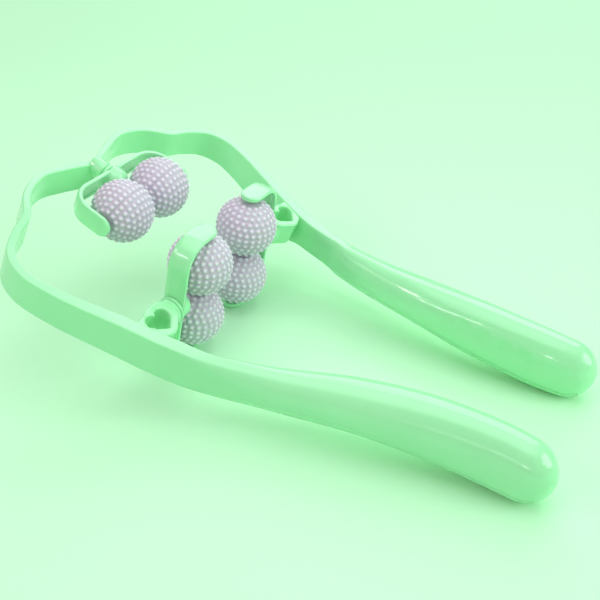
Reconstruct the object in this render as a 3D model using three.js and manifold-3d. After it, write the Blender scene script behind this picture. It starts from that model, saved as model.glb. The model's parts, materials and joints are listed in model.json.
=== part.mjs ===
// Hand-held neck, shoulder and leg massager: a springy hoop with two handles and
// three swivelling roller heads. Millimetres, +Z up, standing as it rests on a table:
// on the lower ends of the two side heads and on the undersides of the handles.
// The hoop is modelled flat in its own XY plane, notch at the origin, handles to +X,
// and the whole hoop group is then tilted about Y onto its resting points.
import * as THREE from 'three';
import { mergeVertices } from 'three/addons/utils/BufferGeometryUtils.js';
import Module from 'manifold-3d';

const wasm = await Module();
wasm.setup();

// ---- driving dimensions -------------------------------------------------------------
const BALL_RADIUS = 20;
const BALL_SPACING = 39;          // between the centres of the two balls of a head
const BALL_GAP = 0.6;             // between their facing flats
const AXLE_RADIUS = 2.5;
const PIN_RADIUS = 2.5;
const FIT_GAP = 0.3;              // between any two pieces that touch

const YOKE_WIDTH = 13.6;
const YOKE_THICKNESS = 3;
const YOKE_SETBACK = 25.2;        // axle line to the middle of the strap's back
const YOKE_CORNER = 15;           // radius of the strap's corners, at mid-thickness
const HUB_RADIUS = 8;
const HUB_TIP = 14.6;             // axle line to the tip of the domed hub
const DOME_HEIGHT = 5.2;
const PIN_TIP = 19;               // axle line to the inner end of a pivot pin
const POCKET_DEPTH = 2;           // blind pockets in the tabs for the axle's ends

const WASHER_THICKNESS = 2.2;
const SIDE_BOSS_RADIUS = 9;
const APEX_BOSS_RADIUS = 6;
const PIN_HEAD_RADIUS = 4.2;
const PIN_HEAD_THICKNESS = 2;
const SIDE_PIN_GRIP = 4.2;        // boss face to the snap-in head inside the boss
const APEX_PIN_GRIP = 2.4;
const TAB_GAP = 2.2;              // ball's outer flat to the yoke's tab

const HEART_BLOCK_HEIGHT = 18.4;
const BOSS_END = 65;              // how far a side boss reaches from the hoop's mid-plane
const BAND_CHAMFER = 1.2;
const TANG_HALF_THICKNESS = 2.6;
const TANG_HALF_HEIGHT = 6.5;
const HANDLE_WALL = 2.6;
const SEAM_LEVEL = -0.58;         // handle seam, as a share of the half height
const HOOP_TILT = 22.53;          // degrees between the hoop plane and the table
const SIDE_HEAD_TURN = 14;        // degrees that the side heads lean back at rest

const APEX_AXLE = { x: 36.9, z: 8 };
const SIDE_AXLE = { x: 103.6, y: 27.5 };

// Half of the frame's centreline, from the notch to the handle's tip, with the half
// thickness and half height of the section at each point: [x, y, z, half a, half b].
const FRAME_POINTS = [
  [-1.4, 0, 0, 2.2, 10.4],
  [-8, 20, 0, 2.2, 10.4],
  [-12, 38.5, 0, 2.3, 10.4],
  [-6, 58.5, 0, 2.3, 10.4],
  [6.8, 73.5, -0.3, 2.4, 10.4],
  [12.5, 88, -0.7, 2.4, 10.4],
  [21.8, 102.4, -1.2, 2.5, 10.5],
  [36, 108.2, -1.6, 2.6, 10.7],
  [56, 105.6, -2, 3.1, 11.2],
  [93.5, 93.4, -2.5, 4.2, 12.4],
  [122, 85.2, -2.1, 4.5, 12.8],
  [150, 78, 2.8, 6.6, 12.8],
  [185, 68.5, 15.4, 11, 13.2],
  [222, 58.6, 30.8, 14.5, 15.2],
  [260, 51.8, 43.8, 15.4, 18.1],
  [297, 49.4, 54.5, 14.8, 19.4],
  [330, 51.3, 63.4, 13.4, 17.6],
];
const NECK_POINT = 11;            // index of the point where band and handle meet
const WAIST_RISE = 6;             // how far the inner side's lower edge is raised before the neck
const TIP_ROUNDING = 16;          // length of the handle's domed end
const COVER_START_POINT = 12.05;  // where the underside cover starts and ends
const COVER_END_POINT = 15.8;

// ---- materials ----------------------------------------------------------------------
const GREEN = new THREE.MeshStandardMaterial({ color: 0x96f5af, roughness: 0.22, metalness: 0 });
const LAVENDER = new THREE.MeshStandardMaterial({ color: 0xc6b8cc, roughness: 0.55, metalness: 0 });
const STEEL = new THREE.MeshStandardMaterial({ color: 0xc0c4c8, roughness: 0.3, metalness: 1 });

// ---- solids from three.js geometry --------------------------------------------------
function toSolid(geometry) {
  const plain = geometry.clone();
  plain.deleteAttribute('normal');
  plain.deleteAttribute('uv');
  const merged = mergeVertices(plain, 1e-4);
  const vertProperties = Float32Array.from(merged.attributes.position.array);
  const triVerts = Uint32Array.from(dropCollapsed(merged.index.array));
  return new wasm.Manifold(new wasm.Mesh({ numProp: 3, vertProperties, triVerts }));
}

function dropCollapsed(index) {
  const kept = [];
  for (let i = 0; i < index.length; i += 3) {
    const [a, b, c] = [index[i], index[i + 1], index[i + 2]];
    if (a !== b && b !== c && c !== a) kept.push(a, b, c);
  }
  return kept;
}

function toGeometry(solid) {
  const mesh = solid.getMesh();
  const geometry = new THREE.BufferGeometry();
  geometry.setAttribute('position', new THREE.BufferAttribute(mesh.vertProperties, 3));
  geometry.setIndex(new THREE.BufferAttribute(mesh.triVerts, 1));
  geometry.computeVertexNormals();
  return geometry;
}

function addPiece(parent, name, solid, material) {
  const mesh = new THREE.Mesh(toGeometry(solid), material);
  mesh.name = name;
  parent.add(mesh);
}

// A closed skin over rings of points that all have the same count and sense.
function loftSolid(rings) {
  const count = rings[0].length;
  const positions = rings.flat().flatMap((p) => [p.x, p.y, p.z]);
  const index = [];
  for (let r = 0; r + 1 < rings.length; r += 1) {
    for (let k = 0; k < count; k += 1) {
      const a = r * count + k;
      const b = r * count + ((k + 1) % count);
      index.push(a, b, a + count, b, b + count, a + count);
    }
  }
  const last = (rings.length - 1) * count;
  for (let k = 1; k + 1 < count; k += 1) {
    index.push(0, k + 1, k, last, last + k, last + k + 1);
  }
  const geometry = new THREE.BufferGeometry();
  geometry.setAttribute('position', new THREE.Float32BufferAttribute(positions, 3));
  geometry.setIndex(index);
  return toSolid(geometry);
}

function extrudeSolid(shape, depth, curveSegments = 8) {
  const settings = { depth, bevelEnabled: false, curveSegments };
  const geometry = new THREE.ExtrudeGeometry(shape, settings);
  geometry.translate(0, 0, -depth / 2);
  return toSolid(geometry);
}

// A solid of revolution about X from [x, radius] corners that start and end on the axis.
function turnedAboutX(corners, segments) {
  const profile = corners.map(([x, radius]) => new THREE.Vector2(radius, x));
  const geometry = new THREE.LatheGeometry(profile, segments);
  geometry.rotateZ(-Math.PI / 2);
  return toSolid(geometry);
}

function cylinderAboutX(radius, fromX, toX, segments = 16) {
  return turnedAboutX([[fromX, 0], [fromX, radius], [toX, radius], [toX, 0]], segments);
}

// A turned solid moved so that its axis runs along Y instead.
function alongY(solid) {
  return solid.rotate([0, 0, 90]);
}

// ---- the frame's curve and sections -------------------------------------------------
const centreline = new THREE.CatmullRomCurve3(FRAME_POINTS.map(([x, y, z]) => new THREE.Vector3(x, y, z)));
const sizeline = new THREE.CatmullRomCurve3(FRAME_POINTS.map(([, , , a, b]) => new THREE.Vector3(a, b, 0)));
const LAST_POINT = FRAME_POINTS.length - 1;

// Position, sideways and upward directions and half sizes at a (fractional) point number.
function station(point) {
  const t = point / LAST_POINT;
  const centre = centreline.getPoint(t);
  const forward = point === 0 ? new THREE.Vector3(0, 1, 0) : centreline.getTangent(t);
  const side = new THREE.Vector3(0, 0, 1).cross(forward).normalize();
  const up = forward.clone().cross(side);
  const size = sizeline.getPoint(t);
  return { centre, side, up, halfA: size.x, halfB: size.y, waist: waistRise(point) };
}

// The arm is less tall on its inner side between the pivot block and the handle.
function waistRise(point) {
  const { smoothstep } = THREE.MathUtils;
  const begun = smoothstep(point, NECK_POINT - 1.4, NECK_POINT - 0.85);
  const ended = smoothstep(point, NECK_POINT - 0.3, NECK_POINT + 1);
  return WAIST_RISE * begun * (1 - ended);
}

function sectionPoint(s, a, b) {
  const lift = b < 0 ? s.waist * ((1 - a / s.halfA) / 2) * (b / s.halfB) ** 2 : 0;
  return s.centre.clone().addScaledVector(s.side, a).addScaledVector(s.up, b + lift);
}

// Band section: a rectangle with small chamfers, grown by an allowance all round.
function bandRing(point, grow = 0) {
  const s = station(point);
  const a = s.halfA + grow;
  const b = s.halfB + grow;
  const cut = Math.min(BAND_CHAMFER, a * 0.4);
  const corners = [
    [a, b - cut], [a - cut, b], [cut - a, b], [-a, b - cut],
    [-a, cut - b], [cut - a, -b], [a - cut, -b], [a, cut - b],
  ];
  return corners.map(([u, v]) => sectionPoint(s, u, v));
}

// Handle section: a rounded oval that starts squarish at the neck.
function handleRing(point, inset = 0, count = 18) {
  const NECK_SQUARENESS = 4.5;
  const GRIP_SQUARENESS = 2.3;
  const s = station(point);
  const share = Math.min(1, point - NECK_POINT);
  const squareness = THREE.MathUtils.lerp(NECK_SQUARENESS, GRIP_SQUARENESS, share);
  const round = tipFactor(s.centre.x, inset);
  const ring = [];
  for (let k = 0; k < count; k += 1) {
    const angle = (2 * Math.PI * (k + 0.5)) / count;
    const u = superellipse(Math.cos(angle), squareness) * (s.halfA - inset) * round;
    const v = superellipse(Math.sin(angle), squareness) * (s.halfB - inset) * round;
    ring.push(sectionPoint(s, u, v));
  }
  return ring;
}

function superellipse(value, power) {
  return Math.sign(value) * Math.abs(value) ** (2 / power);
}

// Shrinks the last stretch of the handle to a dome.
function tipFactor(x, inset) {
  const tipX = FRAME_POINTS[LAST_POINT][0] - inset;
  const into = (x - (tipX - TIP_ROUNDING)) / TIP_ROUNDING;
  const FLAT_END = 0.02;
  if (into <= 0) return 1;
  return Math.sqrt(Math.max(FLAT_END, 1 - into * into));
}

function pointRange(from, to, steps) {
  return Array.from({ length: steps + 1 }, (_, i) => from + ((to - from) * i) / steps);
}

// Point numbers that crowd towards the end of a domed tip.
function tipPoints(from, to, steps) {
  return pointRange(0, 1, steps).map((t) => from + (to - from) * Math.sin((t * Math.PI) / 2));
}

function mirrored(solid) {
  return solid.mirror([0, 1, 0]);
}

// ---- the hoop band --------------------------------------------------------------------
function bandHalf(grow = 0) {
  const rings = pointRange(0, NECK_POINT, NECK_POINT * 4).map((p) => bandRing(p, grow));
  return loftSolid(rings);
}

// A tang runs on from the end of each arm into its hollow handle.
function tang() {
  const a = TANG_HALF_THICKNESS;
  const b = TANG_HALF_HEIGHT;
  const rings = pointRange(NECK_POINT - 0.3, NECK_POINT + 0.8, 4).map((point) => {
    const s = station(point);
    const corners = [[a, b], [-a, b], [-a, -b], [a, -b]];
    return corners.map(([u, v]) => sectionPoint(s, u, v));
  });
  return loftSolid(rings);
}

function hoopBand() {
  const half = bandHalf().add(tang());
  return half.add(mirrored(half));
}

// ---- handles --------------------------------------------------------------------------
function handleOuter() {
  const start = NECK_POINT + 0.01;
  const along = [...pointRange(start, 15, 12), 15.3, ...tipPoints(15.5, LAST_POINT, 6)];
  return loftSolid(along.map((p) => handleRing(p)));
}

function handleCavity(inset) {
  const along = [NECK_POINT - 0.2, ...pointRange(NECK_POINT + 0.2, 15, 8), ...tipPoints(15.4, 15.86, 4)];
  return loftSolid(along.map((p) => handleRing(p, inset, 16)));
}

// Everything below the seam along the stretch that the underside cover fills.
function belowSeam(clearance) {
  const WIDE = 40;
  const rings = pointRange(COVER_START_POINT, COVER_END_POINT, 8).map((point) => {
    const s = station(point);
    const top = SEAM_LEVEL * s.halfB - clearance;
    const corners = [[WIDE, top], [-WIDE, top], [-WIDE, -WIDE], [WIDE, -WIDE]];
    return corners.map(([u, v]) => sectionPoint(s, u, v));
  });
  return loftSolid(rings);
}

function handleBody() {
  return handleOuter().subtract(handleCavity(HANDLE_WALL)).subtract(belowSeam(0));
}

function handleCover() {
  const shrunk = belowSeam(FIT_GAP).intersect(coverLengthLimit());
  return handleOuter().intersect(shrunk).subtract(handleCavity(HANDLE_WALL));
}

// Holds the cover's two ends a fit gap short of the body's slot.
function coverLengthLimit() {
  const SHORTEN = 0.012;
  const WIDE = 60;
  const ends = pointRange(COVER_START_POINT + SHORTEN, COVER_END_POINT - SHORTEN, 8);
  return loftSolid(ends.map((point) => {
    const s = station(point);
    const corners = [[WIDE, WIDE], [-WIDE, WIDE], [-WIDE, -WIDE], [WIDE, -WIDE]];
    return corners.map(([u, v]) => sectionPoint(s, u, v));
  }));
}

// ---- heart block and apex boss --------------------------------------------------------
const HEART = { x: 105.2, y: 74.9, lobe: 4.7, offset: 4.3, tipX: 114.2 };

function heartHole() {
  const { x, y, lobe, offset, tipX } = HEART;
  const cleft = Math.acos(offset / lobe);
  const path = new THREE.Path();
  const tipReach = Math.hypot(tipX - x, offset);
  const tangent = Math.acos(lobe / tipReach) + Math.atan2(-offset, tipX - x);
  path.absarc(x, y + offset, lobe, tangent, Math.PI * 1.5 - cleft, false);
  path.absarc(x, y - offset, lobe, Math.PI / 2 + cleft, 2 * Math.PI - tangent, false);
  path.lineTo(tipX, y);
  path.closePath();
  return path;
}

function heartBlock() {
  const outline = new THREE.Shape();
  outline.moveTo(99, 90);
  outline.quadraticCurveTo(99.2, 82.5, 97.2, 77.8);
  outline.quadraticCurveTo(94.9, 70.5, 96.8, 65.5);
  outline.quadraticCurveTo(98.8, 60.4, 102.6, 59.8);
  outline.lineTo(107, 59.8);
  outline.quadraticCurveTo(110.6, 60.6, 113, 65);
  outline.lineTo(116.2, 69.7);
  outline.quadraticCurveTo(118.9, 73.6, 117.6, 77.6);
  outline.lineTo(114.2, 88);
  outline.closePath();
  outline.holes.push(heartHole());
  const faceY = SIDE_AXLE.y + bossFace();
  const boss = cylinderAboutX(SIDE_BOSS_RADIUS, faceY, BOSS_END, 20);
  return extrudeSolid(outline, HEART_BLOCK_HEIGHT, 6)
    .add(besideHead(boss))
    .subtract(besideHead(pinRoom(SIDE_PIN_GRIP).translate([faceY, 0, 0])))
    .subtract(bandHalf(FIT_GAP));
}

// The blind bore of a boss whose face is at x = 0, with a wider chamber for the pin's head.
function pinRoom(grip) {
  const seat = grip - FIT_GAP;
  const end = grip + PIN_HEAD_THICKNESS + FIT_GAP;
  const bore = cylinderAboutX(PIN_RADIUS + FIT_GAP, -1, end);
  return bore.add(cylinderAboutX(PIN_HEAD_RADIUS + FIT_GAP, seat, end));
}

// A solid turned about X, moved onto the swivel axis of the left head.
function besideHead(solid) {
  return alongY(solid).translate([SIDE_AXLE.x, 0, 0]);
}

// Distance from the axle line to the face of the boss that carries a head.
function bossFace() {
  return YOKE_SETBACK + YOKE_THICKNESS / 2 + WASHER_THICKNESS + 2 * FIT_GAP;
}

function apexBoss() {
  const faceX = APEX_AXLE.x - bossFace();
  const grown = bandHalf(FIT_GAP);
  const boss = cylinderAboutX(APEX_BOSS_RADIUS, -2, faceX, 20);
  const room = pinRoom(APEX_PIN_GRIP).mirror([1, 0, 0]).translate([faceX, 0, 0]);
  return boss
    .subtract(room)
    .translate([0, 0, APEX_AXLE.z])
    .subtract(grown.add(mirrored(grown)));
}

// ---- roller head, about its own axle line --------------------------------------------
// Local +X points away from the support, the axle runs along local Y.
const POLE_CUT = 0.7;                                // flat cut off a ball's outer pole
const POLE = BALL_SPACING / 2 + BALL_RADIUS - POLE_CUT;
const TAB_FACE = POLE + TAB_GAP;                     // inner face of a yoke tab

function strapOutline() {
  const outer = TAB_FACE + YOKE_THICKNESS;
  const back = YOKE_SETBACK + YOKE_THICKNESS / 2;
  const outerRadius = YOKE_CORNER + YOKE_THICKNESS / 2;
  const innerRadius = YOKE_CORNER - YOKE_THICKNESS / 2;
  const cx = outerRadius - back;
  const cy = outer - outerRadius;
  const tabEnd = YOKE_WIDTH / 2;
  const shape = new THREE.Shape();
  shape.moveTo(tabEnd, outer);
  shape.absarc(cx, cy, outerRadius, Math.PI / 2, Math.PI, false);
  shape.absarc(cx, -cy, outerRadius, Math.PI, Math.PI * 1.5, false);
  shape.lineTo(tabEnd, -outer);
  shape.lineTo(tabEnd, -TAB_FACE);
  shape.absarc(cx, -cy, innerRadius, Math.PI * 1.5, Math.PI, true);
  shape.absarc(cx, cy, innerRadius, Math.PI, Math.PI / 2, true);
  shape.lineTo(tabEnd, TAB_FACE);
  shape.closePath();
  return shape;
}

// Side view of the strap, which rounds its two tabs about the axle.
function tongueSolid() {
  const half = YOKE_WIDTH / 2;
  const tongue = new THREE.Shape();
  tongue.moveTo(-40, -half);
  tongue.absarc(0, 0, half, -Math.PI / 2, Math.PI / 2, false);
  tongue.lineTo(-40, half);
  tongue.closePath();
  return extrudeSolid(tongue, 120, 8).rotate([90, 0, 0]);
}

function yoke() {
  const hub = turnedAboutX(hubProfile(), 16);
  const outside = -(YOKE_SETBACK + YOKE_THICKNESS);
  const pinPocket = cylinderAboutX(PIN_RADIUS, outside, -PIN_TIP + FIT_GAP);
  const reach = TAB_FACE + POCKET_DEPTH;
  const axlePocket = alongY(cylinderAboutX(AXLE_RADIUS + FIT_GAP, -reach, reach));
  return extrudeSolid(strapOutline(), YOKE_WIDTH, 6)
    .intersect(tongueSolid())
    .add(hub)
    .subtract(pinPocket)
    .subtract(axlePocket);
}

// The hub on the inside of the strap ends in a dome that points at the balls' waist.
function hubProfile() {
  const DOME_STEPS = 4;
  const corners = [[-YOKE_SETBACK, 0], [-YOKE_SETBACK, HUB_RADIUS]];
  for (let i = 0; i <= DOME_STEPS; i += 1) {
    const angle = (i / DOME_STEPS) * (Math.PI / 2);
    const x = -HUB_TIP - DOME_HEIGHT * (1 - Math.sin(angle));
    corners.push([x, i === DOME_STEPS ? 0 : HUB_RADIUS * Math.cos(angle)]);
  }
  return corners;
}

function ball() {
  const outer = POLE - BALL_SPACING / 2;
  const inner = (BALL_SPACING - BALL_GAP) / 2;
  const bore = AXLE_RADIUS + FIT_GAP;
  const STEPS = 10;
  const start = Math.asin(-inner / BALL_RADIUS);
  const end = Math.asin(outer / BALL_RADIUS);
  const profile = [new THREE.Vector2(bore, -inner)];
  for (let i = 0; i <= STEPS; i += 1) {
    const angle = start + ((end - start) * i) / STEPS;
    profile.push(new THREE.Vector2(BALL_RADIUS * Math.cos(angle), BALL_RADIUS * Math.sin(angle)));
  }
  profile.push(new THREE.Vector2(bore, outer));
  profile.push(new THREE.Vector2(bore, -inner));
  return toSolid(new THREE.LatheGeometry(profile, 20));
}

function axle() {
  const half = TAB_FACE + POCKET_DEPTH - FIT_GAP;
  return alongY(cylinderAboutX(AXLE_RADIUS, -half, half, 16));
}

function pivotPin(grip) {
  const seat = -(bossFace() + grip);
  const rim = seat - PIN_HEAD_THICKNESS;
  const edge = 0.8;
  const step = -(YOKE_SETBACK + 4);
  const slim = PIN_RADIUS - FIT_GAP;
  const corners = [
    [rim, 0], [rim, PIN_HEAD_RADIUS - edge], [rim + edge, PIN_HEAD_RADIUS], [seat, PIN_HEAD_RADIUS],
    [seat, PIN_RADIUS], [step, PIN_RADIUS], [step, slim], [-PIN_TIP, slim], [-PIN_TIP, 0],
  ];
  return turnedAboutX(corners, 16);
}

function swivelWasher(radius) {
  const near = -(YOKE_SETBACK + YOKE_THICKNESS / 2 + FIT_GAP);
  const far = near - WASHER_THICKNESS;
  const disc = cylinderAboutX(radius, far, near, 20);
  return disc.subtract(cylinderAboutX(PIN_RADIUS + FIT_GAP, far - 1, near + 1, 16));
}

function addHead(parent, label, washerRadius, pinGrip) {
  const head = new THREE.Group();
  addPiece(head, `${label}_yoke`, yoke(), GREEN);
  addPiece(head, `${label}_pivot_pin`, pivotPin(pinGrip), GREEN);
  addPiece(head, `${label}_swivel_washer`, swivelWasher(washerRadius), GREEN);
  addPiece(head, `${label}_axle`, axle(), STEEL);
  const shift = BALL_SPACING / 2;
  addPiece(head, `${label}_ball_1`, ball().translate([0, shift, 0]), LAVENDER);
  addPiece(head, `${label}_ball_2`, mirrored(ball().translate([0, shift, 0])), LAVENDER);
  parent.add(head);
  return head;
}

// ---- assembly -------------------------------------------------------------------------
const hoop = new THREE.Group();
addPiece(hoop, 'hoop_band', hoopBand(), GREEN);
addPiece(hoop, 'apex_boss', apexBoss(), GREEN);
for (const [label, place] of [['left', (s) => s], ['right', mirrored]]) {
  addPiece(hoop, `${label}_handle_body`, place(handleBody()), GREEN);
  addPiece(hoop, `${label}_handle_cover`, place(handleCover()), GREEN);
  addPiece(hoop, `${label}_heart_block`, place(heartBlock()), GREEN);
}

const apexHead = addHead(hoop, 'apex', APEX_BOSS_RADIUS, APEX_PIN_GRIP);
apexHead.position.set(APEX_AXLE.x, 0, APEX_AXLE.z);

const SIDE_HEADS = { left: 1, right: -1 };
for (const [label, sign] of Object.entries(SIDE_HEADS)) {
  const head = addHead(hoop, label, SIDE_BOSS_RADIUS, SIDE_PIN_GRIP);
  const localX = new THREE.Vector3(0, -sign, 0);
  const lean = THREE.MathUtils.degToRad(SIDE_HEAD_TURN);
  const localY = new THREE.Vector3(-Math.sin(lean), 0, Math.cos(lean));
  const turn = new THREE.Matrix4().makeBasis(localX, localY, localX.clone().cross(localY));
  head.quaternion.setFromRotationMatrix(turn);
  head.position.set(SIDE_AXLE.x, sign * SIDE_AXLE.y, 0);
}

hoop.rotation.y = THREE.MathUtils.degToRad(HOOP_TILT);
const massager = new THREE.Group();
massager.add(hoop);
massager.updateMatrixWorld(true);
const extent = new THREE.Box3().setFromObject(massager, true);
hoop.position.set(-(extent.min.x + extent.max.x) / 2, 0, -extent.min.z);

export default massager;
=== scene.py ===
import json
import math

import bmesh
import bpy
from mathutils import Matrix, Vector
from mathutils.geometry import tessellate_polygon


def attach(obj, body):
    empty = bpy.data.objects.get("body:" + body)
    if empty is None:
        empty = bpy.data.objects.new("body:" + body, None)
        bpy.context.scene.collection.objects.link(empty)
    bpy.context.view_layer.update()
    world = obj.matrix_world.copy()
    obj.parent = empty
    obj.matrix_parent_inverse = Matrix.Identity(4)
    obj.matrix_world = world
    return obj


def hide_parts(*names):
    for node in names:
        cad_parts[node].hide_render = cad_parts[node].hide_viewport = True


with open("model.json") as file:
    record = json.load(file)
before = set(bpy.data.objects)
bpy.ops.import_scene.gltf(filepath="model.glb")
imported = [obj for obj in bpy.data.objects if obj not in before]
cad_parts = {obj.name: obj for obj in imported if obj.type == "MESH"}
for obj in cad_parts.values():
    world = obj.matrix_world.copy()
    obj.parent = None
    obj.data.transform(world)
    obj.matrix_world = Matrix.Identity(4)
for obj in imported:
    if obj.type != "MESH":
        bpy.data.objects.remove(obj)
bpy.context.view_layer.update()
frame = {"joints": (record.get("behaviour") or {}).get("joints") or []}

MM = 0.001

# ---- driving dimensions, in millimetres, as in the CAD model -----------------------------
BALL_RADIUS = 20               # over the stud tips
BALL_SPACING = 39              # between the centres of a head's two balls
BALL_GAP = 0.6                 # between the two balls, at the axle
POLE_CUT = 0.7                 # flat cut off the outer pole of a ball
AXLE_RADIUS = 2.5
PIN_RADIUS = 2.5
FIT_GAP = 0.3                  # clearance round a pin or an axle and between faces
TAB_GAP = 2.2                  # between a ball's outer pole and the yoke's tab
YOKE_WIDTH = 13.6
YOKE_THICKNESS = 3
YOKE_SETBACK = 25.2            # from the axle to the middle of the strap's back
YOKE_CORNER = 15
HUB_RADIUS = 8
HUB_TIP = 14.6                 # from the axle to the top of the hub's dome
DOME_HEIGHT = 5.2
PIN_TIP = 19                   # from the axle to the pin's end in the hub
POCKET_DEPTH = 2               # of the blind pockets that hold the axle's ends
WASHER_THICKNESS = 2.2
SIDE_BOSS_RADIUS = 9
APEX_BOSS_RADIUS = 6
APEX_BOSS_BACK = -2.6          # where the apex boss begins, in the thickness of the band
PIN_HEAD_RADIUS = 4.2
PIN_HEAD_THICKNESS = 2
SIDE_PIN_GRIP = 4.2            # from a boss's face to the pin's head in its chamber
APEX_PIN_GRIP = 2.4
HEART_BLOCK_HEIGHT = 18.4
HEART_BLOCK_FILLET = 1.3
BOSS_END = 65                  # how far a side boss reaches from the hoop's mid-plane
APEX_AXLE = Vector((36.9, 0, 8))
SIDE_AXLE = Vector((103.6, 27.5, 0))
BOSS_FACE = YOKE_SETBACK + YOKE_THICKNESS / 2 + WASHER_THICKNESS + 2 * FIT_GAP
POLE = BALL_SPACING / 2 + BALL_RADIUS - POLE_CUT
TAB_FACE = POLE + TAB_GAP

# Half of the frame's centreline, from the notch to the handle's tip, with the half
# thickness and half height of the section at each point: x, y, z, half a, half b.
FRAME_POINTS = [
    (-1.4, 0, 0, 2.2, 10.4),
    (-8, 20, 0, 2.2, 10.4),
    (-12, 38.5, 0, 2.3, 10.4),
    (-6, 58.5, 0, 2.3, 10.4),
    (6.8, 73.5, -0.3, 2.4, 10.4),
    (12.5, 88, -0.7, 2.4, 10.4),
    (21.8, 102.4, -1.2, 2.5, 10.5),
    (36, 108.2, -1.6, 2.6, 10.7),
    (56, 105.6, -2, 3.1, 11.2),
    (93.5, 93.4, -2.5, 4.2, 12.4),
    (122, 85.2, -2.1, 4.5, 12.8),
    (150, 78, 2.8, 6.6, 12.8),
    (185, 68.5, 15.4, 11, 13.2),
    (222, 58.6, 30.8, 14.5, 15.2),
    (260, 51.8, 43.8, 15.4, 18.1),
    (297, 49.4, 54.5, 14.8, 19.4),
    (330, 51.3, 63.4, 13.4, 17.6),
]
LAST_POINT = len(FRAME_POINTS) - 1
NECK_POINT = 11                # where the band turns into the handle
WAIST_RISE = 6                 # how far the inner side's lower edge is raised before the neck
TIP_ROUNDING = 16              # length of the dome at a handle's tip
TIP_LEAST = 0.02               # share of its size that the dome's last section keeps
COVER_START = 12.05            # point numbers between which the underside cover lies
COVER_END = 15.8
NECK_STEP = 1.9                # how much the handle's inner side stands out at its start
SEAM_LEVEL = -0.58             # handle seam, as a share of the half height
BAND_EDGE = 1.0                # rounding of the band's edges
EDGE_SHARE = 0.45              # the most that it may be, as a share of the half thickness
HANDLE_ROUNDNESS = 0.92        # share of the handle's section that its corners take up
COVER_DEPTH = 2.0              # depth of the recess that the cover sits in
COVER_FLOOR_GAP = 0.2          # between the cover and the bottom of its recess
COVER_POINT_LENGTH = 36        # millimetres between two points along the cover
SEAM_GAP = 0.45
SEAM_CHAMFER = 0.3             # how far both lips of the seam are sunk

# ---- placing -----------------------------------------------------------------------------
JOINTS = {joint["name"]: joint for joint in frame["joints"]}


def axes_to_matrix(x_axis, y_axis, origin):
    """Turns millimetres in a local frame into metres in the part's frame."""
    z_axis = x_axis.cross(y_axis)
    turn = Matrix((x_axis, y_axis, z_axis)).transposed()
    return Matrix.Translation(origin) @ turn.to_4x4() @ Matrix.Scale(MM, 4)


HOOP_X = Vector(JOINTS["apex_swivel"]["axis"]).normalized()
ACROSS = Vector((0, 1, 0))
HOOP_ROTATION = Matrix((HOOP_X, ACROSS, HOOP_X.cross(ACROSS))).transposed()
HOOP_ORIGIN = Vector(JOINTS["apex_swivel"]["pos_m"]) - HOOP_ROTATION @ (APEX_AXLE * MM)
HOOP = axes_to_matrix(HOOP_X, ACROSS, HOOP_ORIGIN)


def head_matrix(label):
    """A head's local +X points away from its support and its axle runs along local Y."""
    swivel = JOINTS[f"{label}_swivel"]
    spin = JOINTS[f"{label}_spin_1"]
    away = {"apex": HOOP_X, "left": -ACROSS, "right": ACROSS}[label]
    return axes_to_matrix(away, Vector(spin["axis"]).normalized(), Vector(swivel["pos_m"]))


# ---- mesh helpers ------------------------------------------------------------------------
def new_object(name, bm, matrix, finish):
    """Turns a bmesh into an object with smooth faces that point out; the matrix places it."""
    bmesh.ops.delete(bm, geom=[edge for edge in bm.edges if edge.is_wire], context="EDGES")
    bmesh.ops.delete(bm, geom=[vert for vert in bm.verts if not vert.link_faces], context="VERTS")
    bmesh.ops.recalc_face_normals(bm, faces=bm.faces)
    if bm.calc_volume(signed=True) < 0:
        bmesh.ops.reverse_faces(bm, faces=bm.faces)
    mesh = bpy.data.meshes.new(name)
    bm.to_mesh(mesh)
    bm.free()
    mesh.transform(matrix)
    mesh.shade_smooth()
    mesh.materials.append(finish)
    obj = bpy.data.objects.new(name, mesh)
    bpy.context.scene.collection.objects.link(obj)
    return obj


def weighted(obj):
    """Keeps large faces flat-looking beside their rounded edges."""
    modifier = obj.modifiers.new("weighted", "WEIGHTED_NORMAL")
    modifier.mode = "FACE_AREA"
    modifier.weight = 50


def turned(corners, segments=64):
    """A solid of revolution about X. corners are (x, radius, rounding); the path ends on the
    axis or where it began."""
    bm = bmesh.new()
    rings = []
    for x, r in rounded_path(corners):
        if r < 1e-6:
            rings.append([bm.verts.new((x, 0, 0))])
        else:
            rings.append([
                bm.verts.new((x, r * math.cos(a), r * math.sin(a)))
                for a in (2 * math.pi * k / segments for k in range(segments))
            ])
    for near, far in zip(rings, rings[1:]):
        for k in range(segments):
            n = (k + 1) % segments
            loop = [near[k % len(near)], near[n % len(near)], far[n % len(far)], far[k % len(far)]]
            corners_left = list(dict.fromkeys(loop))
            if len(corners_left) > 2:
                bm.faces.new(corners_left)
    bmesh.ops.remove_doubles(bm, verts=bm.verts, dist=1e-4)
    return bm


def rounded_path(corners):
    """Points of an open path whose corners (x, y, radius) are rounded by arcs."""
    steps = 4
    points = []
    for i, (x, y, radius) in enumerate(corners):
        here = Vector((x, y))
        if radius == 0 or i in (0, len(corners) - 1):
            points.append((x, y))
            continue
        before = Vector(corners[i - 1][:2]) - here
        after = Vector(corners[i + 1][:2]) - here
        half = before.angle(after) / 2
        reach = radius / math.tan(half)
        start = here + before.normalized() * reach
        end = here + after.normalized() * reach
        inwards = (before.normalized() + after.normalized()).normalized()
        middle = here + inwards * (radius / math.sin(half))
        for s in range(steps + 1):
            way = start.lerp(end, s / steps) - middle
            points.append(tuple(middle + way.normalized() * radius))
    return points


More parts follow.
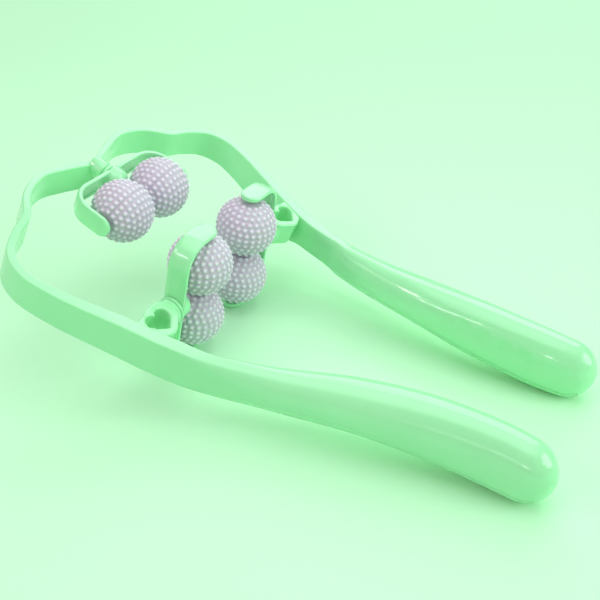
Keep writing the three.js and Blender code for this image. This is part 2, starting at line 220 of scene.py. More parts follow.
def cut(obj, tool, operation="DIFFERENCE"):
    """Applies one exact boolean and deletes the tool."""
    modifier = obj.modifiers.new("cut", "BOOLEAN")
    modifier.operation = operation
    modifier.solver = "EXACT"
    modifier.object = tool
    graph = bpy.context.evaluated_depsgraph_get()
    result = bpy.data.meshes.new_from_object(obj.evaluated_get(graph))
    obj.modifiers.remove(modifier)
    old = obj.data
    obj.data = result
    bpy.data.meshes.remove(old)
    bpy.data.objects.remove(tool)


# ---- the frame's curve and sections ------------------------------------------------------
def catmull_rom(rows, t):
    """Centripetal Catmull-Rom through rows of three numbers, t counted in points."""
    i = min(int(t), len(rows) - 2)
    w = t - i
    p1, p2 = Vector(rows[i]), Vector(rows[i + 1])
    p0 = Vector(rows[i - 1]) if i > 0 else 2 * p1 - p2
    p3 = Vector(rows[i + 2]) if i + 2 < len(rows) else 2 * p2 - p1
    gaps = [math.sqrt((b - a).length) for a, b in ((p0, p1), (p1, p2), (p2, p3))]
    # Two equal rows have no distance, and then take their neighbour's.
    d1 = gaps[1] or 1.0
    d0, d2 = gaps[0] or d1, gaps[2] or d1
    m1 = ((p1 - p0) / d0 - (p2 - p0) / (d0 + d1) + (p2 - p1) / d1) * d1
    m2 = ((p2 - p1) / d1 - (p3 - p1) / (d1 + d2) + (p3 - p2) / d2) * d1
    w2, w3 = w * w, w * w * w
    near_part = p1 * (2 * w3 - 3 * w2 + 1) + m1 * (w3 - 2 * w2 + w)
    return near_part + p2 * (3 * w2 - 2 * w3) + m2 * (w3 - w2)


CENTRES = [row[:3] for row in FRAME_POINTS]
SIZES = [row[3:] + (0,) for row in FRAME_POINTS]   # with a zero, to be rows of three too


def smoothstep(low, high, value):
    """0 at low, 1 at high, with soft ends; high may be the smaller one."""
    share = min(1, max(0, (value - low) / (high - low)))
    return share * share * (3 - 2 * share)


def station(t):
    """Centre, sideways and upward directions and half sizes at a point number."""
    centre = catmull_rom(CENTRES, t)
    step = 0.002
    ahead = catmull_rom(CENTRES, min(t + step, LAST_POINT))
    behind = catmull_rom(CENTRES, max(t - step, 0))
    forward = Vector((0, 1, 0)) if t == 0 else (ahead - behind).normalized()
    side = Vector((0, 0, 1)).cross(forward).normalized()
    up = forward.cross(side)
    size = catmull_rom(SIZES, t)
    return centre, side, up, size.x, size.y


def tip_factor(x, inset):
    """Shrinks the last stretch of the handle to a dome."""
    into = (x - (FRAME_POINTS[LAST_POINT][0] - inset - TIP_ROUNDING)) / TIP_ROUNDING
    return math.sqrt(max(TIP_LEAST ** 2, 1 - into * into)) if into > 0 else 1


def neck_dip(t):
    """Thins the arm's inner side before the handle, so that the handle starts with a shoulder."""
    begun = smoothstep(NECK_POINT - 1, NECK_POINT - 0.1, t)
    remaining = smoothstep(NECK_POINT + 0.3, NECK_POINT, t)
    return NECK_STEP * begun * remaining


def waist_rise(t):
    """The arm is less tall on its inner side between the pivot block and the handle."""
    begun = smoothstep(NECK_POINT - 1.4, NECK_POINT - 0.85, t)
    ended = smoothstep(NECK_POINT - 0.3, NECK_POINT + 1, t)
    return WAIST_RISE * begun * (1 - ended)


FLUTE_START = 13.78            # point number of the first finger flute's middle
FLUTE_PITCH = 0.328            # in point numbers
FLUTE_COUNT = 4
FLUTE_LEVEL = 4.6              # height of the flutes' middle over the section's
FLUTE_HALF = 4.2               # half a flute's width
FLUTE_DEPTH = 0.6
FLUTE_POINT_LENGTH = 38.6      # millimetres between two points along the flutes


def flute_depth(t, v):
    """Shallow rounded squares for the fingers along the handle's inner side."""
    nearest = min(FLUTE_COUNT - 1, max(0, round((t - FLUTE_START) / FLUTE_PITCH)))
    along = (t - FLUTE_START - nearest * FLUTE_PITCH) * FLUTE_POINT_LENGTH / FLUTE_HALF
    up = (v - FLUTE_LEVEL) / FLUTE_HALF
    edge = (along ** 4 + up ** 4) ** 0.25
    return FLUTE_DEPTH * smoothstep(1.15, 0.8, edge)


def skin_point(t, key, inset):
    """A point of the frame's surface. t is a point number, negative on the right-hand half.

    key is (sideways sign, upward sign, angle in degrees) of a place round the section.
    """
    centre, side, up, a, b = station(abs(t))
    sign_u, sign_v, degrees = key
    roundness = smoothstep(NECK_POINT - 1, NECK_POINT + 0.9, abs(t))
    if sign_u < 0:
        a -= neck_dip(abs(t))
    edge = min(BAND_EDGE, EDGE_SHARE * a)
    corner_a = edge + (HANDLE_ROUNDNESS * a - edge) * roundness
    corner_b = edge + (HANDLE_ROUNDNESS * b - edge) * roundness
    angle = math.radians(degrees)
    u = sign_u * (a - corner_a) + corner_a * math.cos(angle)
    v = sign_v * (b - corner_b) + corner_b * math.sin(angle)
    if sign_u < 0:
        u += flute_depth(abs(t), v)
    if v < 0:
        v += waist_rise(abs(t)) * (1 - u / a) / 2 * (v / b) ** 2
    dome = tip_factor(centre.x, inset)
    u *= (a - inset) / a * dome
    v *= (b - inset) / b * dome
    point = centre + side * u + up * v
    if t == 0:
        return Vector((point.x, 0, point.z))
    return Vector((point.x, math.copysign(1, t) * point.y, point.z))


SEAM_ANGLE = math.degrees(math.asin((-SEAM_LEVEL - 1 + HANDLE_ROUNDNESS) / HANDLE_ROUNDNESS))
SEAM_EASE = 1.6                # degrees between the seam and the loop beside it
UPPER_ANGLES = [5 * k for k in range(19)]
LOWER_ANGLES = [0, 5, 10, 15, 20, 25, 29]
LOWER_ANGLES += [SEAM_ANGLE - SEAM_EASE, SEAM_ANGLE, SEAM_ANGLE + SEAM_EASE]
LOWER_ANGLES += [43, 50, 58, 66, 74, 82, 90]


def section_keys():
    """Keys once round the section, from its outer side over the top."""
    keys = [(1, 1, angle) for angle in UPPER_ANGLES]
    keys += [(-1, 1, 180 - angle) for angle in reversed(UPPER_ANGLES)]
    keys += [(-1, -1, 180 + angle) for angle in LOWER_ANGLES]
    keys += [(1, -1, 360 - angle) for angle in reversed(LOWER_ANGLES)]
    return keys


def on_seam_line(key):
    """Whether a key lies on one of the two long seams of the cover."""
    height = math.sin(math.radians(key[2]))
    return key[1] < 0 and abs(height + math.sin(math.radians(SEAM_ANGLE))) < 1e-6


KEYS = section_keys()
SEAM_KEYS = [i for i, key in enumerate(KEYS) if on_seam_line(key)]
TIP_START = LAST_POINT - 0.5   # point number from which the sections crowd towards the tip
SEAM_MARGIN = 0.012            # point numbers between the cover's end and the section beside it


def half_stations():
    """Point numbers along one half, close together where the frame bends or the cover ends."""
    numbers = [k / 6 for k in range(NECK_POINT * 6 + 1)]            # the band
    numbers += [NECK_POINT - 0.4 + k / 30 for k in range(1, 24)]    # the handle's shoulder
    numbers += [NECK_POINT + 0.4 + k / 8 for k in range(20)]        # the start of the grip
    numbers += [FLUTE_START - 0.3 + k / 26 for k in range(45)]      # the flutes
    numbers += [TIP_START - 0.5 + 0.1 * k for k in range(1, 6)]     # the end of the grip
    numbers += [TIP_START + 0.5 * math.sin(math.pi / 2 * k / 14) for k in range(1, 15)]
    for seam in (COVER_START, COVER_END):
        numbers = [n for n in numbers if abs(n - seam) > 2.5 * SEAM_MARGIN]
        numbers += [seam - SEAM_MARGIN, seam, seam + SEAM_MARGIN]
    spread = []
    for n in sorted(numbers):
        closest = 0.01 if n < TIP_START else 0.002
        if not spread or n - spread[-1] > closest:
            spread.append(n)
    return spread


HALF_STATIONS = half_stations()
STATIONS = [-t for t in reversed(HALF_STATIONS[1:])] + HALF_STATIONS


def shell_grid(bm, ts, keys, inset_at):
    """Rows of vertices on the skin, one row for each section."""
    return [
        [bm.verts.new(skin_point(t, key, inset_at(t, i))) for i, key in enumerate(keys)]
        for t in ts
    ]


def quads(bm, grid, rows, columns, wrap=False):
    """Faces over the chosen rows and columns of a grid."""
    for r in rows:
        for c in columns:
            n = (c + 1) % len(grid[0]) if wrap else c + 1
            bm.faces.new((grid[r][c], grid[r][n], grid[r + 1][n], grid[r + 1][c]))


def border(grid, rows, columns):
    """Vertices round a block of a grid, in order."""
    first_row, last_row = rows
    first_col, last_col = columns
    loop = [grid[first_row][c] for c in range(first_col, last_col)]
    loop += [grid[r][last_col] for r in range(first_row, last_row)]
    loop += [grid[last_row][c] for c in range(last_col, first_col, -1)]
    loop += [grid[r][first_col] for r in range(last_row, first_row, -1)]
    return loop


def bridge(bm, outer, inner):
    """Faces between two closed loops of as many vertices."""
    for k in range(len(outer)):
        n = (k + 1) % len(outer)
        bm.faces.new((outer[k], outer[n], inner[n], inner[k]))


def frame_shell():
    """Band and both handles as one skin, with a recess under each handle for its cover."""
    bm = bmesh.new()
    first_key, last_key = SEAM_KEYS

    def outer_inset(t, i):
        inside = COVER_START <= abs(t) <= COVER_END and first_key <= i <= last_key
        at_edge = abs(t) in (COVER_START, COVER_END) or i in (first_key, last_key)
        return SEAM_CHAMFER if inside and at_edge else 0.0

    grid = shell_grid(bm, STATIONS, KEYS, outer_inset)
    recesses = [
        sorted(STATIONS.index(sign * t) for t in (COVER_START, COVER_END)) for sign in (-1, 1)
    ]
    for r in range(len(STATIONS) - 1):
        in_recess = any(low <= r < high for low, high in recesses)
        columns = [c for c in range(len(KEYS)) if not (in_recess and first_key <= c < last_key)]
        quads(bm, grid, [r], columns, wrap=True)
    for low, high in recesses:
        ts = STATIONS[low:high + 1]
        floor = shell_grid(bm, ts, KEYS[first_key:last_key + 1], lambda t, i: COVER_DEPTH)
        length, width = high - low, last_key - first_key
        quads(bm, floor, range(length), range(width))
        mouth = border(grid, (low, high), (first_key, last_key))
        bridge(bm, mouth, border(floor, (0, length), (0, width)))
    for tip in (grid[0], grid[-1]):
        bm.faces.new(tip)
    return bm


def handle_cover(sign):
    """The cover that fills the recess, a seam's width smaller all round."""
    bm = bmesh.new()
    seam_step = SEAM_GAP / COVER_POINT_LENGTH
    seam_turn = 1.9                # the seam's width in degrees of the section
    first_key, last_key = SEAM_KEYS
    keys = list(KEYS[first_key:last_key + 1])
    keys[0] = (-1, -1, keys[0][2] + seam_turn)
    keys[-1] = (1, -1, keys[-1][2] - seam_turn)
    keys[1] = (-1, -1, keys[0][2] + SEAM_EASE)
    keys[-2] = (1, -1, keys[-1][2] - SEAM_EASE)
    ts = [t for t in HALF_STATIONS if COVER_START <= t <= COVER_END]
    ts[0] += seam_step
    ts[-1] -= seam_step
    ts[1] = ts[0] + seam_step
    ts[-2] = ts[-1] - seam_step
    ts = [sign * t for t in ts]
    last_row, last_col = len(ts) - 1, len(keys) - 1

    def outer_inset(t, i):
        return SEAM_CHAMFER if t in (ts[0], ts[-1]) or i in (0, last_col) else 0.0

    outer = shell_grid(bm, ts, keys, outer_inset)
    inner = shell_grid(bm, ts, keys, lambda t, i: COVER_DEPTH - COVER_FLOOR_GAP)
    quads(bm, outer, range(last_row), range(last_col))
    quads(bm, inner, range(last_row), range(last_col))
    edges = [border(grid, (0, last_row), (0, last_col)) for grid in (outer, inner)]
    bridge(bm, *edges)
    return bm


# ---- blocks and bosses on the band -------------------------------------------------------
def arc(cx, cy, radius, start, end):
    """Points along an arc, its angles in radians."""
    steps = 18
    angles = [start + (end - start) * k / steps for k in range(steps + 1)]
    return [(cx + radius * math.cos(angle), cy + radius * math.sin(angle)) for angle in angles]


def quadratic(start, control, end):
    """Points along a quadratic curve, without its first."""
    steps = 8
    points = []
    for k in range(1, steps + 1):
        w = k / steps
        points.append(tuple(
            (1 - w) ** 2 * start[i] + 2 * w * (1 - w) * control[i] + w * w * end[i] for i in range(2)
        ))
    return points


HEART_X = 105.2                # midway between the centres of the two lobes
HEART_Y = 74.9
HEART_OFFSET = 4.3             # half the distance between those centres
HEART_LOBE = 4.7               # radius of a lobe
HEART_TIP = 114.2
HEART_TIP_CUT = 0.35           # how far the sharp tip is cut back
HEART_TIP_HALF = 0.3           # half its width where it is cut


def heart_outline():
    """Two lobes one beside the other across the hoop, the tip towards the handles."""
    x, y = HEART_X, HEART_Y
    cleft = math.acos(HEART_OFFSET / HEART_LOBE)
    reach = math.hypot(HEART_TIP - x, HEART_OFFSET)
    tangent = math.acos(HEART_LOBE / reach) + math.atan2(-HEART_OFFSET, HEART_TIP - x)
    points = arc(x, y + HEART_OFFSET, HEART_LOBE, tangent, 1.5 * math.pi - cleft)
    points += arc(x, y - HEART_OFFSET, HEART_LOBE, math.pi / 2 + cleft, 2 * math.pi - tangent)[1:]
    for side in (-1, 1):
        points.append((HEART_TIP - HEART_TIP_CUT, y + side * HEART_TIP_HALF))
    return points


def block_outline():
    """The pivot block from its front corner on the arm, round the boss, to its rear one."""
    points = [(99, 90)]
    for control, end in (
        ((99.2, 82.5), (97.2, 77.8)),
        ((94.9, 70.5), (96.8, 65.5)),
        ((98.8, 60.4), (102.6, 59.8)),
        ((104.8, 59.8), (107, 59.8)),
        ((110.6, 60.6), (113, 65)),
        ((114.6, 67.4), (116.2, 69.7)),
        ((118.9, 73.6), (117.6, 77.6)),
        ((115.9, 82.8), (114.2, 88)),
    ):
        points += quadratic(points[-1], control, end)
    return points


def corners_cut(points):
    """One pass of corner cutting on a closed outline."""
    cut_points = []
    for (ax, ay), (bx, by) in zip(points, points[1:] + points[:1]):
        cut_points.append((0.75 * ax + 0.25 * bx, 0.75 * ay + 0.25 * by))
        cut_points.append((0.25 * ax + 0.75 * bx, 0.25 * ay + 0.75 * by))
    return cut_points


def soft_normals(points, reach):
    """Normals of an anticlockwise outline, averaged so that a fillet can't fold over."""
    count = len(points)
    raw = []
    for i in range(count):
        ahead, behind = Vector(points[(i + 1) % count]), Vector(points[i - 1])
        way = (ahead - behind).normalized()
        raw.append(Vector((way.y, -way.x)))
    soft = []
    for i in range(count):
        here = Vector(points[i])
        near = [
            raw[k] for k in range(count)
            if (Vector(points[k]) - here).length <= reach and raw[k].dot(raw[i]) > -0.9
        ]
        soft.append(sum(near, Vector((0, 0))) / len(near))
    return soft


def anticlockwise(points):
    """The same outline, turned round if it runs clockwise."""
    area = sum(a[0] * b[1] - b[0] * a[1] for a, b in zip(points, points[1:] + points[:1]))
    return points if area > 0 else points[::-1]


def wall(bm, points, height, fillet, into):
    """Rings from the lower to the upper edge of a filleted wall.

    into is -1 for the outside of a plate and 1 for a hole.
    """
    normals = soft_normals(points, 1.6 * fillet)
    steps = 5
    levels = []
    for k in range(steps + 1):
        angle = math.pi / 2 * k / steps
        levels.append((fillet * (1 - math.sin(angle)), -height / 2 + fillet * (1 - math.cos(angle))))
    levels += [(inset, -z) for inset, z in reversed(levels)]
    rings = []
    for inset, z in levels:
        ring = []
        for (x, y), normal in zip(points, normals):
            ring.append(bm.verts.new((x + into * inset * normal.x, y + into * inset * normal.y, z)))
        rings.append(ring)
    for near, far in zip(rings, rings[1:]):
        bridge(bm, near, far)
    return rings


def filleted_plate(name, outline, hole, height, fillet, finish):
    """An extruded outline with a hole, its edges rounded, centred on z = 0."""
    bm = bmesh.new()
    outside = wall(bm, anticlockwise(corners_cut(outline)), height, fillet, -1)
    inside = wall(bm, anticlockwise(corners_cut(corners_cut(hole))), height, fillet, 1)
    for level in (0, -1):
        verts = outside[level] + inside[level]
        loops = [[vert.co for vert in outside[level]], [vert.co for vert in inside[level]]]
        for triangle in tessellate_polygon(loops):
            bm.faces.new([verts[i] for i in triangle])
    return new_object(name, bm, Matrix.Identity(4), finish)


ALONG_Y = Matrix.Rotation(math.pi / 2, 4, "Z")


def tool(corners, matrix):
    """A turned solid that is only used to cut or to be joined."""
    return new_object("tool", turned(corners, 48), matrix, MINT)


def rod(start, end, radius):
    """Corners of a plain cylinder."""
    return [(start, 0, 0), (start, radius, 0), (end, radius, 0), (end, 0, 0)]


def heart_block(label, sign):
    """A pivot block with its boss, bored for the pin and hollowed for the pin's head."""
    face = SIDE_AXLE.y + BOSS_FACE
    block = filleted_plate(
        f"{label}_pivot_block", block_outline(), heart_outline(),
        HEART_BLOCK_HEIGHT, HEART_BLOCK_FILLET, MINT,
    )
    at_axle = Matrix.Translation((SIDE_AXLE.x, 0, 0)) @ ALONG_Y
    boss = [
        (face, 0, 0), (face, SIDE_BOSS_RADIUS, 0.9),
        (BOSS_END, SIDE_BOSS_RADIUS, 0.4), (BOSS_END, 0, 0),
    ]
    cut(block, tool(boss, at_axle), "UNION")
    end = face + SIDE_PIN_GRIP + PIN_HEAD_THICKNESS + FIT_GAP
    seat = face + SIDE_PIN_GRIP - FIT_GAP
    bore = PIN_RADIUS + FIT_GAP
    room = PIN_HEAD_RADIUS + FIT_GAP
    hollow = [
        (face - 1, 0, 0), (face - 1, bore, 0), (seat, bore, 0),
        (seat, room, 0), (end, room, 0), (end, 0, 0),
    ]
    cut(block, tool(hollow, at_axle))
    place = HOOP @ Matrix.Diagonal((1, sign, 1, 1))
    block.data.transform(place)
    if sign < 0:
        block.data.flip_normals()
    return block


def apex_boss():
    """The boss on the band's apex, with the same stepped hollow."""
    face = APEX_AXLE.x - BOSS_FACE
    bore = PIN_RADIUS + FIT_GAP
    room = PIN_HEAD_RADIUS + FIT_GAP
    seat = face - APEX_PIN_GRIP + FIT_GAP
    end = face - APEX_PIN_GRIP - PIN_HEAD_THICKNESS - FIT_GAP
    corners = [
        (APEX_BOSS_BACK, 0, 0), (APEX_BOSS_BACK, APEX_BOSS_RADIUS, 0),
        (face, APEX_BOSS_RADIUS, 1.6), (face, bore, 0),
        (seat, bore, 0), (seat, room, 0), (end, room, 0), (end, 0, 0),
    ]
    return turned(corners)


# ---- a roller head, about its own axle line ----------------------------------------------
def strap_path():
    """Mid-line of the strap from one tab's end to the other.

    Each row is (x, y, outward x, outward y, share of the full width).
    """
    half_width = YOKE_WIDTH / 2
    level = TAB_FACE + YOKE_THICKNESS / 2
    corner_x = YOKE_CORNER - YOKE_SETBACK
    corner_y = level - YOKE_CORNER
    tab_end = 86                   # degrees; at 90 the tab's round end would be a point
    half = []
    for k in range(9):
        angle = math.radians(tab_end * (1 - k / 8))
        half.append((half_width * math.sin(angle), level, 0, 1, math.cos(angle)))
    half += [(x, level, 0, 1, 1) for x in (-4, -8)]
    for k in range(15):
        angle = math.pi / 2 + math.pi / 2 * k / 14
        out_x, out_y = math.cos(angle), math.sin(angle)
        x, y = corner_x + YOKE_CORNER * out_x, corner_y + YOKE_CORNER * out_y
        half.append((x, y, out_x, out_y, 1))
    for k in range(1, 12):
        half.append((-YOKE_SETBACK, corner_y * (1 - k / 12), -1, 0, 1))
    middle = [(-YOKE_SETBACK, 0, -1, 0, 1)]
    other = [(x, -y, ox, -oy, share) for x, y, ox, oy, share in reversed(half)]
    return half + middle + other


# Half section of the strap, (share of half width, height over mid-thickness): a raised
# middle facet outside, a shallow channel inside.
STRAP_SECTION = [
    (0, 1.5), (0.56, 1.5), (0.63, 1.46), (0.88, 1.02), (0.95, 0.86), (0.99, 0.6), (1, 0.25),
    (1, -0.95), (0.98, -1.28), (0.92, -1.46), (0.84, -1.5), (0.62, -1.5), (0.56, -1.42),
    (0.5, -1.05), (0.44, -0.95), (0, -0.95),
]


def strap():
    """The section swept along the strap's path, narrowing to a round end at each tab."""
    bm = bmesh.new()
    outline = STRAP_SECTION + [(-share, height) for share, height in STRAP_SECTION[-2:0:-1]]
    rings = []
    for x, y, out_x, out_y, share in strap_path():
        ring = []
        for across, height in outline:
            z = across * share * YOKE_WIDTH / 2
            ring.append(bm.verts.new((x + out_x * height, y + out_y * height, z)))
        rings.append(ring)
    for near, far in zip(rings, rings[1:]):
        bridge(bm, near, far)
    bm.faces.new(rings[0])
    bm.faces.new(rings[-1])
    return bm


def yoke(label, matrix):
    """The strap with its domed hub and a blind pocket in each tab for the axle."""
    body = new_object(f"{label}_strap", strap(), Matrix.Identity(4), MINT)
    back = -YOKE_SETBACK - 0.4     # inside the strap's thickness
    hub = [(back, 0, 0), (back, HUB_RADIUS, 0)]
    for k in range(10):
        angle = math.pi / 2 * k / 10
        x = -HUB_TIP - DOME_HEIGHT * (1 - math.sin(angle))
        hub.append((x, HUB_RADIUS * math.cos(angle), 0))
    hub.append((-HUB_TIP, 0, 0))
    cut(body, tool(hub, Matrix.Identity(4)), "UNION")
    reach = TAB_FACE + POCKET_DEPTH
    cut(body, tool(rod(-reach, reach, AXLE_RADIUS + FIT_GAP), ALONG_Y))
    body.data.transform(matrix)
    return body


STUD_PITCH = 4.15              # between two studs of a ring
ROW_SHARE = 0.88               # rings lie closer together than the studs of a ring
STUD_FOOT = 1.55               # radius of a stud where it leaves the ball
STUD_HEIGHT = 0.95
STUD_SIDES = 12
STUD_PROFILE = ((0.8, 0.42), (0.55, 0.78), (0.28, 0.96))   # shares of foot radius and height
STUD_LATITUDE = math.radians(68)   # the last ring of studs from the ball's equator
GROOVE_HALF_WIDTH = 0.22       # parting line round a ball, through both its poles
GROOVE_DEPTH = 0.5
GROOVE_STEPS = 130
GROOVE_END = 0.03              # radians from the parting line's end to the edge of the flat
POLE_SIDES = 24
POLE_LEAST = 0.25              # the least that is cut off at a pole, down from the ball's skin
SKIN_RADIUS = BALL_RADIUS - STUD_HEIGHT    # the ball between its studs


def on_ball(latitude, longitude):
    """A direction from the ball's centre; latitude counts from the equator to the poles."""
    return Vector((
        math.cos(latitude) * math.cos(longitude),
        math.sin(latitude),
        math.cos(latitude) * math.sin(longitude),
    ))


def stud_directions():
    """Rings of studs about the axle, laid out alike on both sides of the parting line."""
    row_step = STUD_PITCH * ROW_SHARE / SKIN_RADIUS
    rows = int(STUD_LATITUDE / row_step)
    directions = []
    for row in range(-rows, rows + 1):
        latitude = row * row_step
        half_round = max(3, round(math.pi * SKIN_RADIUS * math.cos(latitude) / STUD_PITCH))
        for k in range(2 * half_round):
            longitude = math.pi * (k + 0.5) / half_round
            directions.append(on_ball(latitude, longitude))
    return directions


def stud_foot(bm, direction, u, v):
    """The ring on the ball where a stud begins."""
    spread = STUD_FOOT / SKIN_RADIUS
    ring = []
    for k in range(STUD_SIDES):
        angle = 2 * math.pi * k / STUD_SIDES
        offset = u * math.cos(angle) + v * math.sin(angle)
        place = (direction * math.cos(spread) + offset * math.sin(spread)) * SKIN_RADIUS
        ring.append(bm.verts.new(place))
    return ring


def pole_levels(outer_sign):
    """Heights of the two flats along the axle, the one below the ball's centre first."""
    levels = []
    for side in (-1, 1):
        level = POLE - BALL_SPACING / 2 if side == outer_sign else (BALL_SPACING - BALL_GAP) / 2
        levels.append(side * min(level, SKIN_RADIUS - POLE_LEAST))
    return levels


def pole_ring(bm, level):
    """The edge of the flat at a pole."""
    radius = math.sqrt(SKIN_RADIUS * SKIN_RADIUS - level * level)
    angles = [2 * math.pi * (k + 0.5) / POLE_SIDES for k in range(POLE_SIDES)]
    return [bm.verts.new((radius * math.cos(a), level, radius * math.sin(a))) for a in angles]


def groove_edge(bm, longitude, side, low, high):
    """One lip of the parting line, from one pole to the other."""
    lip = []
    for k in range(GROOVE_STEPS + 1):
        latitude = low + (high - low) * k / GROOVE_STEPS
        flat = on_ball(latitude, longitude)
        across = Vector((-math.sin(longitude), 0, math.cos(longitude))) * side * GROOVE_HALF_WIDTH
        lip.append(bm.verts.new((flat * SKIN_RADIUS + across).normalized() * SKIN_RADIUS))
    return lip


def studded_ball(outer_sign):
    """A ball with domed studs and a parting line, flat and bored at both poles of the axle.

    The skin is the convex hull of the stud feet, the pole rings and the groove's lips. Each
    is then opened again, by deleting the faces whose corners all belong to one of them.
    """
    bm = bmesh.new()
    owner = {}

    def owned(verts, part):
        owner.update((vert, part) for vert in verts)
        return verts

    studs = []
    for number, direction in enumerate(stud_directions()):
        u = direction.orthogonal().normalized()
        v = direction.cross(u)
        studs.append((direction, u, v, owned(stud_foot(bm, direction, u, v), number)))
    levels = pole_levels(outer_sign)
    poles = [owned(pole_ring(bm, level), f"pole {level}") for level in levels]
    low = math.asin(levels[0] / SKIN_RADIUS) + GROOVE_END
    high = math.asin(levels[1] / SKIN_RADIUS) - GROOVE_END
    grooves = []
    for longitude in (0, math.pi):
        lips = [groove_edge(bm, longitude, side, low, high) for side in (-1, 1)]
        owned(lips[0] + lips[1], f"groove {longitude}")
        grooves.append(lips)
    bmesh.ops.convex_hull(bm, input=bm.verts)
    open_faces = [face for face in bm.faces if len({owner[vert] for vert in face.verts}) == 1]
    bmesh.ops.delete(bm, geom=open_faces, context="FACES_ONLY")
    for direction, u, v, foot in studs:
        dome(bm, direction, u, v, foot)
    for lips in grooves:
        groove_floor(bm, lips)
    bore = AXLE_RADIUS + FIT_GAP
    holes = []
    for ring in poles:
        hole = [bm.verts.new(bored(vert.co, bore)) for vert in ring]
        bridge(bm, ring, hole)
        holes.append(hole)
    bridge(bm, holes[0], holes[1])
    return bm


def bored(point, radius):
    """The point moved straight in to the bore's radius."""
    share = radius / math.hypot(point.x, point.z)
    return (point.x * share, point.y, point.z * share)


def groove_floor(bm, lips):
    """The bottom of the parting line, closed at both its ends."""
    near, far = lips
    floor = [
        bm.verts.new((a.co + b.co).normalized() * (SKIN_RADIUS - GROOVE_DEPTH))
        for a, b in zip(near[1:-1], far[1:-1])
    ]
    for k in range(1, len(near) - 2):
        bm.faces.new((near[k], near[k + 1], floor[k], floor[k - 1]))
        bm.faces.new((floor[k - 1], floor[k], far[k + 1], far[k]))
    for end, inner in ((0, 1), (-1, -2)):
        bottom = floor[0] if end == 0 else floor[-1]
        bm.faces.new((near[end], near[inner], bottom))
        bm.faces.new((far[inner], far[end], bottom))
        bm.faces.new((far[end], near[end], bottom))


def dome(bm, direction, u, v, foot):
    """A stud, in rings from its foot to its tip."""
    ring = foot
    for share, rise in STUD_PROFILE:
        foot_level = SKIN_RADIUS * math.cos(STUD_FOOT / SKIN_RADIUS)
        level = direction * (foot_level + STUD_HEIGHT * rise)
        upper = []
        for k in range(STUD_SIDES):
            angle = 2 * math.pi * k / STUD_SIDES
            offset = (u * math.cos(angle) + v * math.sin(angle)) * STUD_FOOT * share
            upper.append(bm.verts.new(level + offset))
        bridge(bm, ring, upper)
        ring = upper
    tip = bm.verts.new(direction * BALL_RADIUS)
    for k in range(STUD_SIDES):
        bm.faces.new((ring[k], ring[(k + 1) % STUD_SIDES], tip))


def pivot_pin(grip):
    """The pin from its head in the boss to its end in the hub."""
    seat = -(BOSS_FACE + grip)
    rim = seat - PIN_HEAD_THICKNESS
    corners = [
        (rim, 0, 0), (rim, PIN_HEAD_RADIUS, 0.8),
        (seat, PIN_HEAD_RADIUS, 0.2), (seat, PIN_RADIUS, 0),
        (-PIN_TIP, PIN_RADIUS, 0.3), (-PIN_TIP, 0, 0),
    ]
    return turned(corners)


def swivel_washer(radius):
    """The collar between boss and yoke."""
    near = -(YOKE_SETBACK + YOKE_THICKNESS / 2 + FIT_GAP)
    far = near - WASHER_THICKNESS
    bore = PIN_RADIUS + FIT_GAP
    return turned([
        (far, bore, 0), (far, radius, 0.5), (near, radius, 0.5), (near, bore, 0), (far, bore, 0),
    ])


def axle():
    """The rod through both balls, its ends in the yoke's pockets."""
    half = TAB_FACE + POCKET_DEPTH - FIT_GAP
    corners = [(-half, 0, 0), (-half, AXLE_RADIUS, 0.4), (half, AXLE_RADIUS, 0.4), (half, 0, 0)]
    return turned(corners, 32)


# ---- materials ---------------------------------------------------------------------------
def material(name, colour, roughness, **sockets):
    """A Principled material with plain values set on the shader's own sockets."""
    made = bpy.data.materials.new(name)
    made.use_nodes = True
    shader = made.node_tree.nodes["Principled BSDF"]
    shader.inputs["Base Color"].default_value = (*colour, 1)
    shader.inputs["Roughness"].default_value = roughness
    for socket, value in sockets.items():
        shader.inputs[socket.replace("_", " ")].default_value = value
    return made


def noise(tree, scale, detail=3.0):
    """Noise in the piece's own coordinates, scale in cells per metre."""
    place = tree.nodes.new("ShaderNodeTexCoord")
    texture = tree.nodes.new("ShaderNodeTexNoise")
    texture.inputs["Scale"].default_value = scale
    texture.inputs["Detail"].default_value = detail
    tree.links.new(place.outputs["Object"], texture.inputs["Vector"])
    return texture.outputs["Fac"]


def colour_between(tree, factor, low, high, low_at=0.3, high_at=0.7):
    """Drives the base colour from low to high as the factor passes from low_at to high_at."""
    ramp = tree.nodes.new("ShaderNodeValToRGB")
    ramp.color_ramp.elements[0].position = low_at
    ramp.color_ramp.elements[0].color = (*low, 1)
    ramp.color_ramp.elements[1].position = high_at
    ramp.color_ramp.elements[1].color = (*high, 1)
    tree.links.new(factor, ramp.inputs["Fac"])
    tree.links.new(ramp.outputs["Color"], tree.nodes["Principled BSDF"].inputs["Base Color"])


def value_between(tree, factor, low, high, socket):
    """Drives a socket of the shader from low to high by a factor of 0 to 1."""
    span = tree.nodes.new("ShaderNodeMapRange")
    span.inputs["To Min"].default_value = low
    span.inputs["To Max"].default_value = high
    tree.links.new(factor, span.inputs["Value"])
    tree.links.new(span.outputs["Result"], tree.nodes["Principled BSDF"].inputs[socket])


def bumped(tree, factor, distance, strength):
    """A faint unevenness of the surface, the distance in metres."""
    bump = tree.nodes.new("ShaderNodeBump")
    bump.inputs["Distance"].default_value = distance
    bump.inputs["Strength"].default_value = strength
    tree.links.new(factor, bump.inputs["Height"])
    tree.links.new(bump.outputs["Normal"], tree.nodes["Principled BSDF"].inputs["Normal"])


